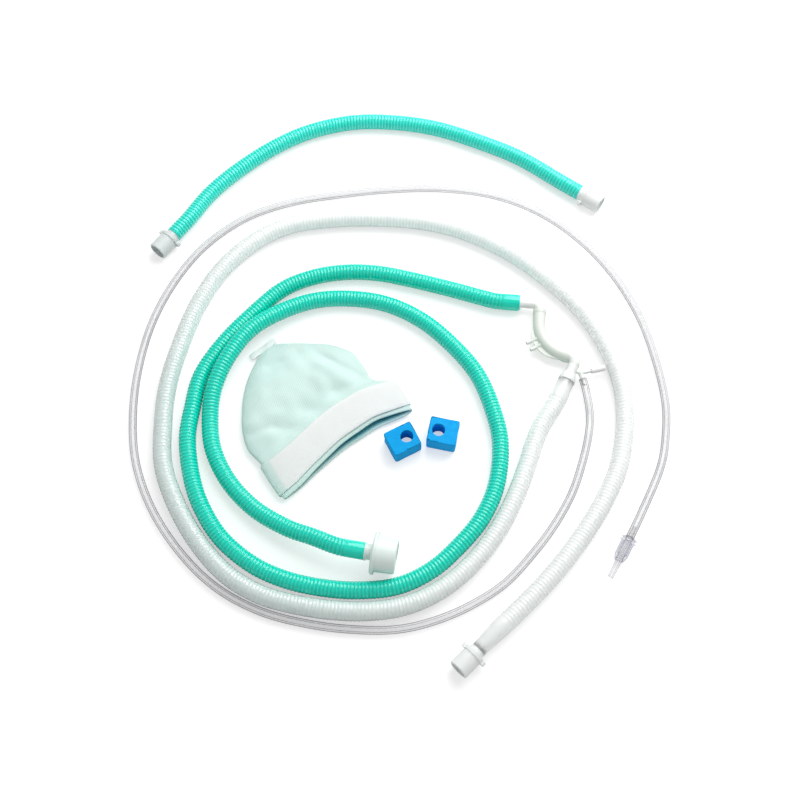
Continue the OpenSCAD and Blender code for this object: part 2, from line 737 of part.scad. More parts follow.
// Triangles between the rings first to first + count - 1
function hat_wall(first, count) = [
    for (i = [first : first + count - 2]) for (k = [0 : hat_sides - 1])
        let (m = (k + 1) % hat_sides) each [
            [i * hat_sides + k, i * hat_sides + m, (i + 1) * hat_sides + m],
            [i * hat_sides + k, (i + 1) * hat_sides + m, (i + 1) * hat_sides + k]]];

// Rim between an outer ring and an inner ring, given by their first points
function hat_rim(a, b) = [for (k = [0 : hat_sides - 1]) let (m = (k + 1) % hat_sides) each [
    [b + k, b + m, a + m], [b + k, a + m, a + k]]];

// The band lies round the lower end of the crown, just clear of it
module hat_cuff_band() {
    gs = [for (i = [1 : 3]) crown_rings[i]];
    outer = [for (g = gs) hat_ring(g, lifted, lifted)];
    inner = [for (i = [2 : -1 : 0]) hat_ring(gs[i], lifted, soft_gap)];
    faces = concat(hat_wall(0, 6), hat_rim(0, 5 * hat_sides));
    color([0.95, 0.96, 0.96]) flat_at(hat_place)
        polyhedron([for (r = concat(outer, inner)) each r], faces);
}

label_l = 21;
label_w = 5;
label_t = 0.8;
// Folded tag at the top of the crown
module hat_label() {
    top = crown_rings[len(crown_rings) - 1];
    color([0.96, 0.96, 0.95]) flat_at(hat_place)
        translate([top[3] - label_l / 2, crown_h, top[2] - label_t / 2])
            cube([label_l, label_w, label_t]);
}

// Foam block with a round hole off its middle
foam_left = [17, -28, 0, 28];
foam_right = [47, -22, 0, 168];
module foam_block(p) {
    color([0.10, 0.62, 0.95]) flat_at(p) difference() {
        translate([-foam_l / 2, -foam_w / 2, 0]) cube([foam_l, foam_w, foam_h]);
        translate([foam_shift, 0, -cut]) cylinder(h = foam_h + 2 * cut, d = foam_hole);
    }
}

module foam_block_left() {
    foam_block(foam_left);
}

module foam_block_right() {
    foam_block(foam_right);
}

humidifier_hose();
humidifier_connector_left();
humidifier_connector_right();
inspiratory_hose();
inspiratory_connector();
inspiratory_elbow();
nasal_cannula();
expiratory_elbow();
port_cap();
expiratory_hose();
expiratory_connector();
pressure_line();
luer_hub();
luer_collar();
hat_crown();
hat_cuff_band();
hat_label();
foam_block_left();
foam_block_right();
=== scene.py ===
import math

import bpy
import numpy as np
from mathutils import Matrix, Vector, noise


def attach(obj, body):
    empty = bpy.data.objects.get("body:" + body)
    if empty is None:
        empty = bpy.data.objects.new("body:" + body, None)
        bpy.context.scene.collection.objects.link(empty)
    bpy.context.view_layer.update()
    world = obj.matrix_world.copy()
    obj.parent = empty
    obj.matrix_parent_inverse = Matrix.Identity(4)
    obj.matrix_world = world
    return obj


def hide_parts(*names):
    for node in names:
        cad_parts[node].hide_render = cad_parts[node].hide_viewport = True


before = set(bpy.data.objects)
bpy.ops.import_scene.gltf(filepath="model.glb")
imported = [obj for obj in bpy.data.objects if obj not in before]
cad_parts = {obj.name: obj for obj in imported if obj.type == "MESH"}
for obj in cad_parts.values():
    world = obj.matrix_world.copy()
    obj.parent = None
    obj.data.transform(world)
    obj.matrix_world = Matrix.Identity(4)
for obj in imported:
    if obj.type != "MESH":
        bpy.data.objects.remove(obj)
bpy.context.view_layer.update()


# Node maths: a Wire is one output, and sums of wires make their own nodes
class Wire:
    def __init__(self, look, socket):
        self.look = look
        self.socket = socket

    def maths(self, how, first, second=0.0):
        return self.look.node("ShaderNodeMath", {"operation": how}, {0: first, 1: second})

    def other(self, name):
        return Wire(self.look, self.socket.node.outputs[name])

    def __add__(self, second):
        return self.maths("ADD", self, second)

    def __radd__(self, first):
        return self.maths("ADD", first, self)

    def __sub__(self, second):
        return self.maths("SUBTRACT", self, second)

    def __rsub__(self, first):
        return self.maths("SUBTRACT", first, self)

    def __mul__(self, second):
        return self.maths("MULTIPLY", self, second)

    def __rmul__(self, first):
        return self.maths("MULTIPLY", first, self)

    def __truediv__(self, second):
        return self.maths("DIVIDE", self, second)

    def __pow__(self, second):
        return self.maths("POWER", self, second)

    def wave(self):
        return self.maths("SINE", self)

    def size(self):
        return self.maths("ABSOLUTE", self)

    def rest(self):
        return self.maths("FRACT", self)

    def clamped(self):
        return self.maths("MAXIMUM", self.maths("MINIMUM", self, 1.0), 0.0)


# One material, or the world, and its nodes
class Look:
    def __init__(self, name, store=None):
        self.owner = (bpy.data.materials if store is None else store).new(name)
        self.owner.use_nodes = True
        self.tree = self.owner.node_tree
        self.tree.nodes.clear()

    def node(self, kind, settings=None, values=None, out=0):
        made = self.tree.nodes.new(kind)
        for key, value in (settings or {}).items():
            setattr(made, key, value)
        for key, value in (values or {}).items():
            socket = made.inputs[key]
            if isinstance(value, Wire):
                self.tree.links.new(value.socket, socket)
            else:
                socket.default_value = value
        return Wire(self, made.outputs[out]) if len(made.outputs) else made

    def mix(self, share, first, second):
        return self.node("ShaderNodeMix", {"data_type": "RGBA"}, {0: share, 6: first, 7: second}, out=2)

    def cloud(self, spot, scale, detail=3.0):
        return self.node("ShaderNodeTexNoise", None, {"Vector": spot, "Scale": scale, "Detail": detail})

    def spot(self):
        return self.node("ShaderNodeTexCoord", out="Object")

    def bump(self, height, depth, strength=1.0):
        return self.node("ShaderNodeBump", None, {"Height": height, "Distance": depth, "Strength": strength})

    def surface(self, values):
        shader = self.node("ShaderNodeBsdfPrincipled", None, values)
        self.node("ShaderNodeOutputMaterial", None, {"Surface": shader})
        return self.owner


def paint(red, green, blue):
    # A screen colour as the linear one that nodes take
    def straight(c):
        c = c / 255
        return c / 12.92 if c <= 0.04045 else ((c + 0.055) / 1.055) ** 2.4
    return (straight(red), straight(green), straight(blue), 1.0)


# Camera: the photograph looks down at 67 degrees from 85 cm away
view = {
    "target": (0.015, 0.009, 0.0),
    "distance": 0.85,
    "elevation": 67.0,
    "lens": 50.0,
    "sensor": 36.0,
}


def makeCamera():
    slope = math.radians(view["elevation"])
    target = Vector(view["target"])
    away = Vector((0.0, -math.cos(slope), math.sin(slope))) * view["distance"]
    data = bpy.data.cameras.new("camera")
    data.lens = view["lens"]
    data.sensor_width = view["sensor"]
    camera = bpy.data.objects.new("camera", data)
    camera.location = target + away
    camera.rotation_euler = (-away).to_track_quat("-Z", "Y").to_euler()
    bpy.context.collection.objects.link(camera)
    bpy.context.scene.camera = camera


makeCamera()
print("camera set")


# Lines and tubes
def ahead(place, distance):
    x, y, z, turn = place
    turned = math.radians(turn)
    return (x + distance * math.cos(turned), y + distance * math.sin(turned), z, turn)


def routePoints(hose):
    # Each end place heads away from its hose, and the hose is straight there
    first, last = hose["start"], hose["finish"]
    startRun, finishRun = hose["straights"]
    inner = [(*p, hose["height"])[:3] if len(p) == 2 else p for p in hose["points"]]
    return [first[:3], ahead(first, -startRun)[:3], *inner, ahead(last, -finishRun)[:3], last[:3]]


def smoothLine(points, step=0.0005, ease=0.005):
    # The curve of the solids through the route's points, in even steps, with its kinks eased
    p = np.array(points)
    share = np.linspace(0.0, 1.0, 60, endpoint=False)[:, None]
    runs = [p[0] + (p[1] - p[0]) * share]
    for a, b, c, d in zip(p[:-3], p[1:-2], p[2:-1], p[3:]):
        runs.append(0.5 * (2 * b + (c - a) * share + (2 * a - 5 * b + 4 * c - d) * share ** 2
                           + (3 * b - a - 3 * c + d) * share ** 3))
    runs.append(p[-2] + (p[-1] - p[-2]) * np.linspace(0.0, 1.0, 60)[:, None])
    line = np.concatenate(runs)
    way = np.concatenate([[0.0], np.cumsum(np.linalg.norm(np.diff(line, axis=0), axis=1))])
    count = round(way[-1] / step)
    stops = np.linspace(0, way[-1], count + 1)
    even = np.stack([np.interp(stops, way, line[:, k]) for k in range(3)], axis=1)
    reach = round(ease / step)
    weights = np.hanning(2 * reach + 3)[1:-1]
    eased = np.stack([np.convolve(even[:, k], weights / weights.sum(), "valid") for k in range(3)], axis=1)
    keep = 2 * reach
    even[keep:-keep] = eased[keep - reach:len(eased) - keep + reach]
    return even, way[-1]


def pointAt(line, length, distance):
    stations = np.linspace(0.0, length, len(line))
    return np.stack([np.interp(distance, stations, line[:, k]) for k in range(3)], axis=-1)


def newMesh(name, points, faces, look):
    mesh = bpy.data.meshes.new(name)
    mesh.from_pydata(np.asarray(points).tolist(), [], [tuple(f) for f in faces])
    mesh.materials.append(look)
    mesh.polygons.foreach_set("use_smooth", [True] * len(mesh.polygons))
    mesh.update()
    piece = bpy.data.objects.new(name, mesh)
    bpy.context.collection.objects.link(piece)
    return piece


def addValues(piece, name, values):
    store = piece.data.attributes.new(name, "FLOAT", "POINT")
    store.data.foreach_set("value", np.asarray(values, dtype=np.float32).ravel())


def ringFaces(rows, sides, closed=True):
    # Quads between rows of points, and from the last row back to the first
    i, k = np.meshgrid(np.arange(rows if closed else rows - 1), np.arange(sides), indexing="ij")
    j, m = (i + 1) % rows, (k + 1) % sides
    return np.stack([i * sides + k, i * sides + m, j * sides + m, j * sides + k], axis=-1).reshape(-1, 4)


def tube(name, line, length, stations, sides, look, bored=True, feel=0.0005, margin=0.0006):
    # Stations are distance, radius and share of painted crest light, along the outside and back along the
    # bore.
    # Where it isn't bored right through, a face closes the first and the last ring.
    s, radius, crestLight = np.array(stations).T
    centre = pointAt(line, length, s)
    near = np.clip(s, margin, length - margin)
    ways = pointAt(line, length, near + feel) - pointAt(line, length, near - feel)
    ways /= np.linalg.norm(ways, axis=1)[:, None]
    left = np.cross([0.0, 0.0, 1.0], ways)
    left /= np.linalg.norm(left, axis=1)[:, None]
    up = np.cross(ways, left)
    turn = np.arange(sides) * 2 * math.pi / sides
    out = np.cos(turn)[None, :, None] * left[:, None] + np.sin(turn)[None, :, None] * up[:, None]
    points = centre[:, None] + out * radius[:, None, None]
    faces = ringFaces(len(s), sides, closed=bored).tolist()
    if not bored:
        faces += [list(range(sides))[::-1], list(range(len(s) * sides - sides, len(s) * sides))]
    piece = newMesh(name, points.reshape(-1, 3), faces, look)
    addValues(piece, "crestLight", np.repeat(crestLight, sides))
    return piece


def smoothRun(begin, end, fromRadius, toRadius, step=0.003):
    count = max(2, round((end - begin) / step))
    shares = np.linspace(0.0, 1.0, count + 1)
    eased = shares * shares * (3 - 2 * shares)
    return [(begin + (end - begin) * t, fromRadius + (toRadius - fromRadius) * e, hoseEnd["cuffLight"])
            for t, e in zip(shares, eased)]


# One rib from valley to valley: place along the pitch, height, and share of the painted crest light
ribShape = [
    (0.0, 0.0, 0.0), (0.18, 0.22, 0.1), (0.34, 0.8, 0.5),
    (0.5, 1.0, 1.0), (0.66, 0.8, 0.5), (0.82, 0.22, 0.1),
]
# The ends that all hoses share: rounded edge, room beside a cuff, least wall, depth of
# the open mouth, height of a cuff between valley and crest, and its share of the painted crest light
hoseEnd = {
    "edge": 0.0003,
    "room": 0.0004,
    "margin": 0.001,
    "wall": 0.0009,
    "mouth": 0.002,
    "level": 0.25,
    "cuffLight": 0.7,
}


def ribbedRun(begin, end, hose):
    count = round((end - begin) / hose["pitch"])
    pitch = (end - begin) / count
    radius, depth = hose["outside"] / 2, hose["depth"]
    run = []
    for rib in range(count):
        uneven = 0.06 * noise.noise(Vector((rib * 0.37, hose["outside"] * 900, 0.0)))
        for place, height, crestLight in ribShape:
            run.append((begin + (rib + place) * pitch, radius - depth * (1 - height), crestLight + uneven))
    return run


def makeHose(name, hose, look, sides=24):
    line, length = smoothLine(routePoints(hose))
    begin, end = hose["cuffs"]
    tip, foot = hose["cuffRadii"]
    radius, bore = hose["outside"] / 2, hose["bore"] / 2
    edge, room, margin, mouth = (hoseEnd[key] for key in ("edge", "room", "margin", "mouth"))
    level = radius - hoseEnd["level"] * hose["depth"]
    hollow = min(bore, tip - hoseEnd["wall"], foot - hoseEnd["wall"])
    # The inside of the mouth takes the valleys' painted shade, and the rounded lips the crests' painted
    # light
    stations = [(mouth, hollow, 0.0), (0.0, hollow, 0.0), (0.0, tip - edge, 0.9), (edge, tip, 1.0)]
    if begin:
        stations += smoothRun(margin, begin - room, tip, level)
    stations += ribbedRun(begin or margin, length - (end or margin), hose)
    if end:
        stations += smoothRun(length - end + room, length - margin, level, foot)
    stations += [(length - edge, foot, 0.7), (length, foot - edge, 0.6)]
    stations += [(length, hollow, 0.0), (length - mouth, hollow, 0.0)]
    piece = tube(name, line, length, stations, sides, look, bored=False)
    print(name, "length", round(length, 4))
    return piece


# Corrugated hose plastic: paler on the crests and deeper in the valleys, which is painted light and shade,
# and faintly cloudy
def hosePlastic(name, valleyShade, crestLight, shine, gloss, softness, reach, paintedFalloff=None):
    look = Look(name)
    rib = look.node("ShaderNodeAttribute", {"attribute_name": "crestLight"}, out="Fac")
    spot = look.spot()
    cloud = look.cloud(spot, 45.0)
    grain = look.cloud(spot, 1400.0, 2.0)
    # Painted light and shade: the crests take the lit colour and the valleys the shaded one
    colour = look.mix((rib * 0.9 + 0.3 * (cloud - 0.5)).clamped(), valleyShade, crestLight)
    if paintedFalloff:  # painted shade: the hose is greyer towards the left and the bottom, where the light falls off
        x = look.node("ShaderNodeSeparateXYZ", None, {"Vector": spot}, out="X")
        colour = look.mix((-0.07 - 7.0 * (x + 0.6 * x.other("Y"))).clamped(), colour, paintedFalloff)
    return look.surface({
        "Base Color": colour,
        "Roughness": 0.16 + 0.12 * grain,
        "Normal": look.bump(grain, 0.00012, 0.5),
        "Specular IOR Level": shine,
        "Coat Weight": gloss,
        "Coat Roughness": 0.08,
        "Subsurface Weight": softness,
        "Subsurface Radius": (reach, reach, reach),
        "Subsurface Scale": 1.0,
    })


greenHosePlastic = hosePlastic("greenHosePlastic", paint(0, 206, 182), paint(14, 230, 206),
                               0.2, 0.8, 0.6, 0.003)
# Painted light: a paler copy of the green plastic for the short hose, which lies alone and catches more
# light
litGreenPlastic = hosePlastic("litGreenPlastic", paint(14, 214, 194), paint(76, 242, 226),
                               0.2, 0.8, 0.6, 0.003)
# Painted shade: the white hose greys towards the left and bottom, where the light falls off
whiteHosePlastic = hosePlastic("whiteHosePlastic", paint(227, 233, 231), paint(239, 243, 241),
                               0.5, 0.5, 1.0, 0.015, paintedFalloff=paint(208, 220, 217))

humidifierHose = {
    "start": (-0.168, 0.151, 0.0076, 233.0),
    "finish": (0.163, 0.191, 0.0076, -35.0),
    "straights": (0.018, 0.018),
    "height": 0.0065,
    "outside": 0.013,
    "bore": 0.0104,
    "pitch": 0.00263,
    "depth": 0.0004,
    "cuffs": (0.0, 0.0),
    "cuffRadii": (0.0063, 0.0063),
    "stiffness": "medium",
    "points": [
        (-0.141, 0.191), (-0.119, 0.214), (-0.090, 0.237), (-0.060, 0.253), (-0.025, 0.262),
        (0.010, 0.262), (0.045, 0.256), (0.080, 0.243), (0.115, 0.226),
    ],
}

inspiratoryHose = {
    "start": (0.109, 0.089, 0.007, -5.0),
    "finish": (-0.010, -0.114, 0.0155, -10.0),
    "straights": (0.018, 0.018),
    "height": 0.0065,
    "outside": 0.013,
    "bore": 0.0104,
    "pitch": 0.00263,
    "depth": 0.0004,
    "cuffs": (0.014, 0.0145),
    "cuffRadii": (0.0064, 0.0064),
    "stiffness": "medium",
    "points": [
        (0.054, 0.102), (0.021, 0.111), (-0.003, 0.116), (-0.027, 0.117), (-0.052, 0.113),
        (-0.077, 0.102), (-0.099, 0.081), (-0.121, 0.055), (-0.137, 0.027), (-0.142, 0.000),
        (-0.144, -0.025), (-0.139, -0.054), (-0.130, -0.078), (-0.114, -0.102), (-0.091, -0.121),
        (-0.067, -0.132), (-0.041, -0.138), (-0.015, -0.140), (0.013, -0.137), (0.038, -0.125),
        (0.059, -0.106), (0.075, -0.086), (0.086, -0.061), (0.090, -0.029), (0.085, -0.001),
        (0.074, 0.028), (0.055, 0.053), (0.032, 0.074), (0.005, 0.088), (-0.023, 0.093),
        (-0.051, 0.091, 0.0075), (-0.077, 0.080, 0.0105), (-0.100, 0.063, 0.0135),
        (-0.116, 0.040, 0.0135), (-0.126, 0.015, 0.0105), (-0.128, -0.009), (-0.124, -0.034),
        (-0.111, -0.059), (-0.091, -0.080, 0.0075), (-0.067, -0.095, 0.0105), (-0.047, -0.103, 0.0135),
    ],
}

expiratoryHose = {
    "start": (0.14185, 0.02163, 0.007, 64.0),
    "finish": (0.069, -0.182, 0.0076, -136.0),
    "straights": (0.018, 0.018),
    "height": 0.007,
    "outside": 0.014,
    "bore": 0.0112,
    "pitch": 0.00265,
    "depth": 0.0003,
    "cuffs": (0.018, 0.028),
    "cuffRadii": (0.0062, 0.0056),
    "stiffness": "medium",
    "points": [
        (0.119, -0.019), (0.107, -0.052), (0.095, -0.080), (0.079, -0.106), (0.059, -0.128),
        (0.038, -0.143), (0.015, -0.152), (-0.010, -0.155), (-0.035, -0.154), (-0.060, -0.150),
        (-0.084, -0.143), (-0.108, -0.129), (-0.129, -0.107), (-0.147, -0.079), (-0.160, -0.047),
        (-0.163, -0.014), (-0.162, 0.018), (-0.155, 0.052), (-0.144, 0.087), (-0.127, 0.119),
        (-0.102, 0.145), (-0.074, 0.160), (-0.040, 0.166), (-0.005, 0.167), (0.032, 0.164),
        (0.068, 0.154), (0.103, 0.135), (0.132, 0.111), (0.158, 0.082), (0.175, 0.051),
        (0.184, 0.018), (0.184, -0.014), (0.177, -0.047), (0.164, -0.074), (0.147, -0.100),
        (0.127, -0.125), (0.106, -0.147),
    ],
}

for name, node, hose, look, slot in [
    ("humidifierHose", "humidifier_hose", humidifierHose, litGreenPlastic, "green_hose"),
    ("inspiratoryHose", "inspiratory_hose", inspiratoryHose, greenHosePlastic, "green_hose"),
    ("expiratoryHose", "expiratory_hose", expiratoryHose, whiteHosePlastic, "white_hose"),
]:
    piece = makeHose(name, hose, look)
    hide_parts(node)
    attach(piece, "circuit")

# The clear line
pressureLine = {
    "start": (0.15462, 0.023375, 0.007, 104.0),
    "finish": (0.181, -0.101, 0.0052, -119.0),
    "straights": (0.006, 0.012),
    "height": 0.003,
    "outside": 0.006,
    "bore": 0.0034,
    "edge": 0.0002,
    "margin": 0.002,
    "rings": 0.003,
    "sides": 32,
    "points": [
        (0.159, -0.002), (0.157, -0.020), (0.151, -0.042), (0.142, -0.066), (0.128, -0.090),
        (0.111, -0.112), (0.090, -0.134), (0.065, -0.150), (0.039, -0.161), (0.012, -0.167),
        (-0.018, -0.167), (-0.050, -0.163), (-0.084, -0.154), (-0.116, -0.137), (-0.143, -0.112),
        (-0.166, -0.080), (-0.181, -0.045), (-0.187, -0.009), (-0.187, 0.030), (-0.180, 0.072),
        (-0.165, 0.110), (-0.143, 0.143), (-0.112, 0.169), (-0.076, 0.184), (-0.035, 0.192),
        (0.007, 0.197), (0.048, 0.198), (0.090, 0.192), (0.126, 0.177), (0.157, 0.153),
        (0.183, 0.121), (0.202, 0.083), (0.212, 0.046), (0.217, 0.008), (0.215, -0.020),
        (0.208, -0.048),
    ],
}


def clearPlastic(name, middle, edge, thin, thick):
    # Like glass, denser where the wall is seen side on. The sides of a piece are painted
    # darker than its top, a painted shade standing for the dark edges of a clear wall.
    look = Look(name)
    facing = look.node("ShaderNodeTexCoord", out="Normal")
    z = look.node("ShaderNodeSeparateXYZ", None, {"Vector": facing}, out="Z")
    grazing = look.node("ShaderNodeLayerWeight", None, {"Blend": 0.5}, out="Facing")
    ripple = look.cloud(look.spot(), 60.0, 2.0)
    # Painted shade: darker where the surface faces sideways, standing for a clear wall's dark edges
    paintedSideShade = (1.4 - 1.4 * z.size() + 0.12 * (ripple - 0.5)).clamped()
    wall = (1.5 * grazing - 0.35 + 0.12 * (ripple - 0.5)).clamped()
    return look.surface({
        "Base Color": look.mix(paintedSideShade, middle, edge),
        "Roughness": 0.12 + 0.04 * ripple,
        "Alpha": (thin + 0.08 * paintedSideShade + thick * wall).clamped(),
        "Specular IOR Level": 0.6,
        "Coat Weight": 0.4,
        "Coat Roughness": 0.12,
    })


def makeLine():
    line, length = smoothLine(routePoints(pressureLine))
    radius, bore = pressureLine["outside"] / 2, pressureLine["bore"] / 2
    edge, margin = pressureLine["edge"], pressureLine["margin"]
    rings = round(length / pressureLine["rings"])
    stations = [(0.0, radius - edge, 0.0), (edge, radius, 0.0)]
    stations += [(s, radius, 0.0) for s in np.linspace(margin, length - margin, rings)]
    stations += [(length - edge, radius, 0.0), (length, radius - edge, 0.0)]
    stations += [(s, bore, 0.0) for s in np.linspace(length, 0.0, rings)]
    # The second colour is the painted shade at the line's sides
    vinyl = clearPlastic("clearVinyl", paint(246, 247, 250), paint(40, 40, 52), 0.11, 0.8)
    piece = tube("pressureLine", line, length, stations, pressureLine["sides"], vinyl)
    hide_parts("pressure_line")
    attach(piece, "circuit")
    print("pressureLine length", round(length, 4))


makeLine()


# Moulded plastics and silicone, paler than they are dense, so that light seems to pass through
def moulded(name, colour, shade, rough):
    look = Look(name)
    spot = look.spot()
    cloud = look.cloud(spot, 90.0)
    grain = look.cloud(spot, 1800.0, 2.0)
    return look.surface({
        "Base Color": look.mix(cloud.clamped(), colour, shade),
        "Roughness": rough + 0.1 * grain,
        "Normal": look.bump(grain, 0.00008, 0.4),
        "Alpha": (0.93 + 0.1 * (cloud - 0.5)).clamped(),
        "Subsurface Weight": 0.2,
        "Subsurface Radius": (0.0012, 0.0012, 0.0012),
        "Subsurface Scale": 1.0,
    })


frostedPlastic = moulded("frostedPlastic", paint(246, 249, 248), paint(238, 243, 241), 0.3)
# Painted shade: a darker copy of the frosted plastic for the left connector, where the light falls off
frostedPlasticInShade = moulded("frostedPlasticInShade", paint(224, 232, 231), paint(213, 223, 221), 0.3)
mintPlastic = moulded("mintPlastic", paint(238, 249, 245), paint(230, 245, 240), 0.3)
elbowPlastic = moulded("elbowPlastic", paint(250, 252, 248), paint(245, 248, 243), 0.28)
outletPlastic = moulded("outletPlastic", paint(240, 244, 240), paint(234, 239, 234), 0.28)
cannulaSilicone = moulded("cannulaSilicone", paint(231, 237, 230), paint(224, 231, 222), 0.3)
capSilicone = moulded("capSilicone", paint(252, 250, 251), paint(248, 246, 247), 0.33)
# Their second colours are the painted shade at their sides
luerPlastic = clearPlastic("luerPlastic", paint(246, 247, 250), paint(150, 150, 164), 0.12, 0.4)
violetPlastic = clearPlastic("violetPlastic", paint(230, 232, 252), paint(104, 104, 148), 0.08, 0.36)

nodeLooks = {
    "humidifier_connector_left": frostedPlasticInShade,
    "humidifier_connector_right": frostedPlastic,
    "expiratory_connector": frostedPlastic,
    "inspiratory_connector": mintPlastic,
    "inspiratory_elbow": elbowPlastic,
    "expiratory_elbow": outletPlastic,
    "nasal_cannula": cannulaSilicone,
    "port_cap": capSilicone,
    "luer_hub": luerPlastic,
    "luer_collar": violetPlastic,
}
for node, look in nodeLooks.items():
    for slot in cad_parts[node].material_slots:
        slot.material = look
print("mouldings finished")

# The knit hat, in its own frame: x along the cuff band, y towards the top of the crown
hat = {
    "place": (-0.038, -0.013),
    "turn": 35.0,
    "cloth": 0.0013,
    "band": 0.0016,
    "gap": 0.0003,
    "bandHeight": 0.024,
    "hem": 0.0265,
    "hemBack": 0.0034,
    "around": 120,
    "crownGirth": 0.23,
    "bandGirth": 0.24,
    "underSwell": 0.4,
    "overSwell": 0.85,
    "bandEnds": (-0.062, 0.060),
    "foldFine": 0.0010,
    "foldBroad": 0.0018,
    "creaseDepth": 1.05,
}
hatLift = hat["band"] + hat["gap"]
# Upper edge of the band and its width there, by the distance along it
bandLine = [
    (-0.0620, 0.0005, 0.0275), (-0.0450, 0.0005, 0.0255), (-0.0300, 0.0025, 0.0240),
    (-0.0150, 0.0055, 0.0240), (0.0000, 0.0080, 0.0240), (0.0150, 0.0085, 0.0240),
    (0.0300, 0.0080, 0.0235), (0.0420, 0.0060, 0.0240), (0.0520, 0.0032, 0.0235),
    (0.0605, 0.0006, 0.0225),
]
# Sections of the crown: y, left edge, right edge, thickness as it lies
crownSections = [
    (-0.0400, -0.0600, 0.0575, 0.0056),
    (-0.0265, -0.0600, 0.0580, 0.0060),
    (-0.0120, -0.0600, 0.0585, 0.0078),
    (0.0000, -0.0595, 0.0580, 0.0090),
    (0.0060, -0.0600, 0.0480, 0.0100),
    (0.0160, -0.0615, 0.0475, 0.0110),
    (0.0270, -0.0590, 0.0480, 0.0112),
    (0.0380, -0.0540, 0.0470, 0.0110),
    (0.0550, -0.0425, 0.0365, 0.0095),
    (0.0680, -0.0300, 0.0220, 0.0072),
    (0.0770, -0.0175, 0.0100, 0.0050),
    (0.0805, -0.0120, 0.0050, 0.0036),
    (0.0830, -0.0040, -0.0010, 0.0024),
]
# Soft creases on top: two ends, half width and height
creases = [
    ((-0.058, 0.027), (-0.037, 0.021), 0.0032, -0.0014),
    ((-0.034, 0.018), (-0.020, 0.006), 0.0040, -0.0010),
    ((-0.052, 0.034), (-0.030, 0.028), 0.0048, 0.0010),
    ((-0.010, 0.020), (-0.004, 0.011), 0.0060, -0.0015),
    ((0.016, 0.020), (0.022, 0.012), 0.0065, -0.0018),
    ((0.024, 0.054), (0.030, 0.042), 0.0036, -0.0012),
    ((0.027, 0.046), (0.040, 0.020), 0.0036, -0.0016),
    ((0.020, 0.044), (0.031, 0.018), 0.0050, 0.0014),
    ((0.013, 0.036), (0.012, 0.012), 0.0050, 0.0010),
    ((-0.012, 0.066), (0.012, 0.064), 0.0040, -0.0011),
    ((-0.052, 0.034), (-0.030, 0.046), 0.0060, 0.0011),
]


def through(keys, y):
    # Smooth values between keys whose first number rises
    ys = [k[0] for k in keys]
    i = min(max(int(np.searchsorted(ys, y, side="right")) - 1, 0), len(keys) - 2)
    a, b, c, d = (np.array(keys[min(max(i + n, 0), len(keys) - 1)]) for n in (-1, 0, 1, 2))
    t = (y - b[0]) / (c[0] - b[0])
    rise = c[0] - b[0]
    m = (c - a) / max(c[0] - a[0], 1e-9) * rise
    n = (d - b) / max(d[0] - b[0], 1e-9) * rise
    value = ((2 * t ** 3 - 3 * t ** 2 + 1) * b + (t ** 3 - 2 * t ** 2 + t) * m
             + (3 * t ** 2 - 2 * t ** 3) * c + (t ** 3 - t ** 2) * n)
    return value[1:]


def easeDown(value, start, end):
    t = min(max((value - start) / (end - start), 0.0), 1.0)
    return 1 - t * t * (3 - 2 * t)


def folds(x, y):
    height = hat["foldBroad"] * noise.noise(Vector((x * 38, y * 30, 1.7)))
    height += hat["foldFine"] * noise.noise(Vector((x * 90, y * 70, 4.1)))
    for (x0, y0), (x1, y1), wide, rise in creases:
        dx, dy = x1 - x0, y1 - y0
        t = min(max(((x - x0) * dx + (y - y0) * dy) / (dx * dx + dy * dy), 0.0), 1.0)
        away = math.hypot(x - x0 - t * dx, y - y0 - t * dy) / wide
        height += hat["creaseDepth"] * rise * math.exp(-away * away)
    return height


def hatPoint(turn, y, grow):
    left, right, thick = through(crownSections, y)
    c, s = math.cos(turn), math.sin(turn)
    lift = hatLift * easeDown(y, 0.0, 0.010)
    swell = -((-s) ** hat["underSwell"]) if s < 0 else s ** hat["overSwell"]
    x = (left + right) / 2 + ((right - left) / 2 + grow) * c
    z = lift + thick / 2 + (thick / 2 + grow) * swell
    edge, wide = through(bandLine, min(max(x, hat["bandEnds"][0]), hat["bandEnds"][1]))
    bowed = y * (wide / hat["bandHeight"] if y < 0 else 1.0) + edge * easeDown(y, 0.002, 0.070)
    if s > 0:  # folds on top only, faint under the band and none at the crown's end
        clear = 0.15 + 0.85 * (1 - easeDown(y, -0.004, 0.012))
        z += folds(x, bowed) * s * clear * easeDown(y, 0.066, 0.080)
    return x, bowed, max(z, 0.0)


def hatToFrame(points):
    p = np.array(points)
    turn = math.radians(hat["turn"])
    x = hat["place"][0] + p[:, 0] * math.cos(turn) - p[:, 1] * math.sin(turn)
    y = hat["place"][1] + p[:, 0] * math.sin(turn) + p[:, 1] * math.cos(turn)
    return np.stack([x, y, p[:, 2]], axis=1)


def clothSpots(piece, spots):
    # Real distances over the cloth, for its knit
    layer = piece.data.uv_layers.new(name="cloth")
    spots = np.array(spots)
    corners = np.empty(len(piece.data.loops), dtype=np.int32)
    piece.data.loops.foreach_get("vertex_index", corners)
    layer.data.foreach_set("uv", spots[corners].ravel())


